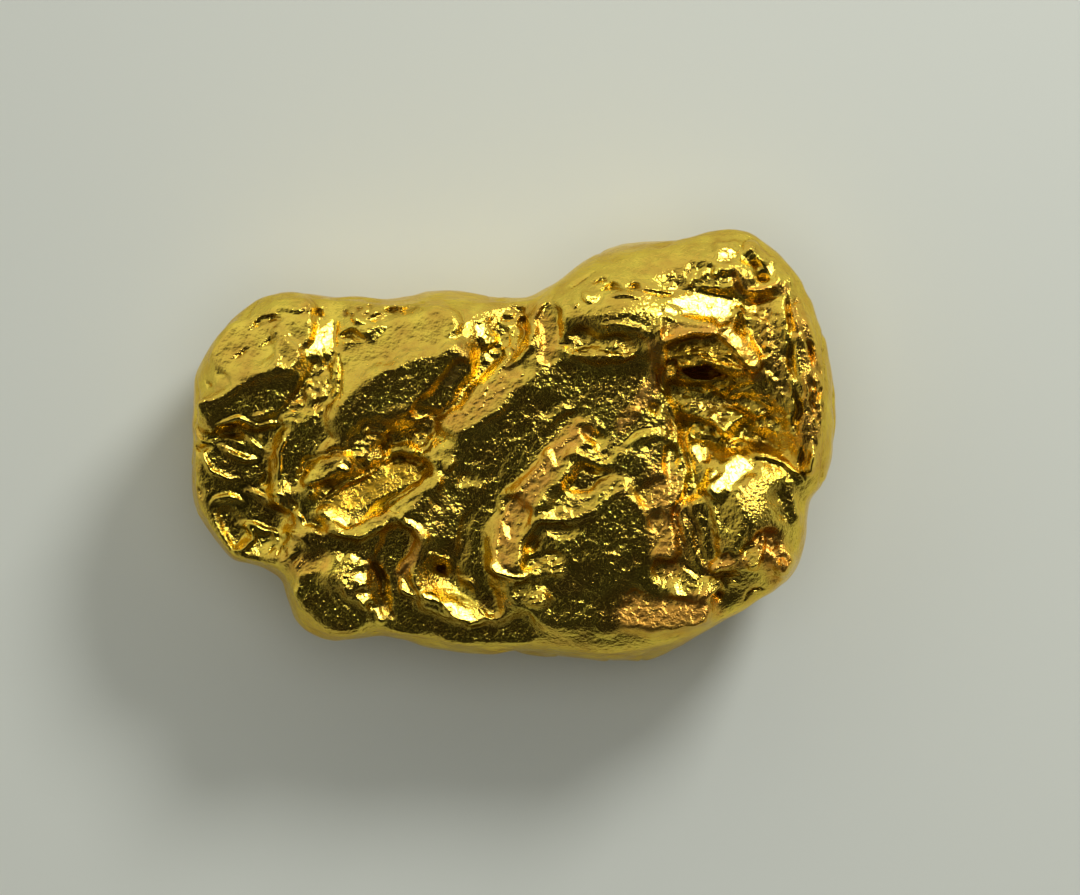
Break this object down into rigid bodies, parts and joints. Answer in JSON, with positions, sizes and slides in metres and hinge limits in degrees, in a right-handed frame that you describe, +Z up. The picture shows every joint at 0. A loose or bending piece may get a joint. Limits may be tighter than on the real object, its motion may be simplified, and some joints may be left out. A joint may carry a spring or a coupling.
{
  "type": "gold nugget",
  "caption": "Small water-worn lump of native gold, longer than wide, with rounded lobes, folds and one deep hollow on its upper side.",
  "frame": {"origin": "under the middle of the nugget's box, on the surface that its worn flat rests on", "axes": "+X along the nugget, towards its broad end with the deep hollow; +Z up, out of the side with the relief"},
  "size_m": [0.008, 0.0054, 0.0029],
  "materials": {
    "native_gold": "native gold worn by water: glossy on the lobes, finely grained on the flats, brown in the creases"
  },
  "bodies": {
    "root": {"nugget": "native_gold"}
  },
  "joints": []
}
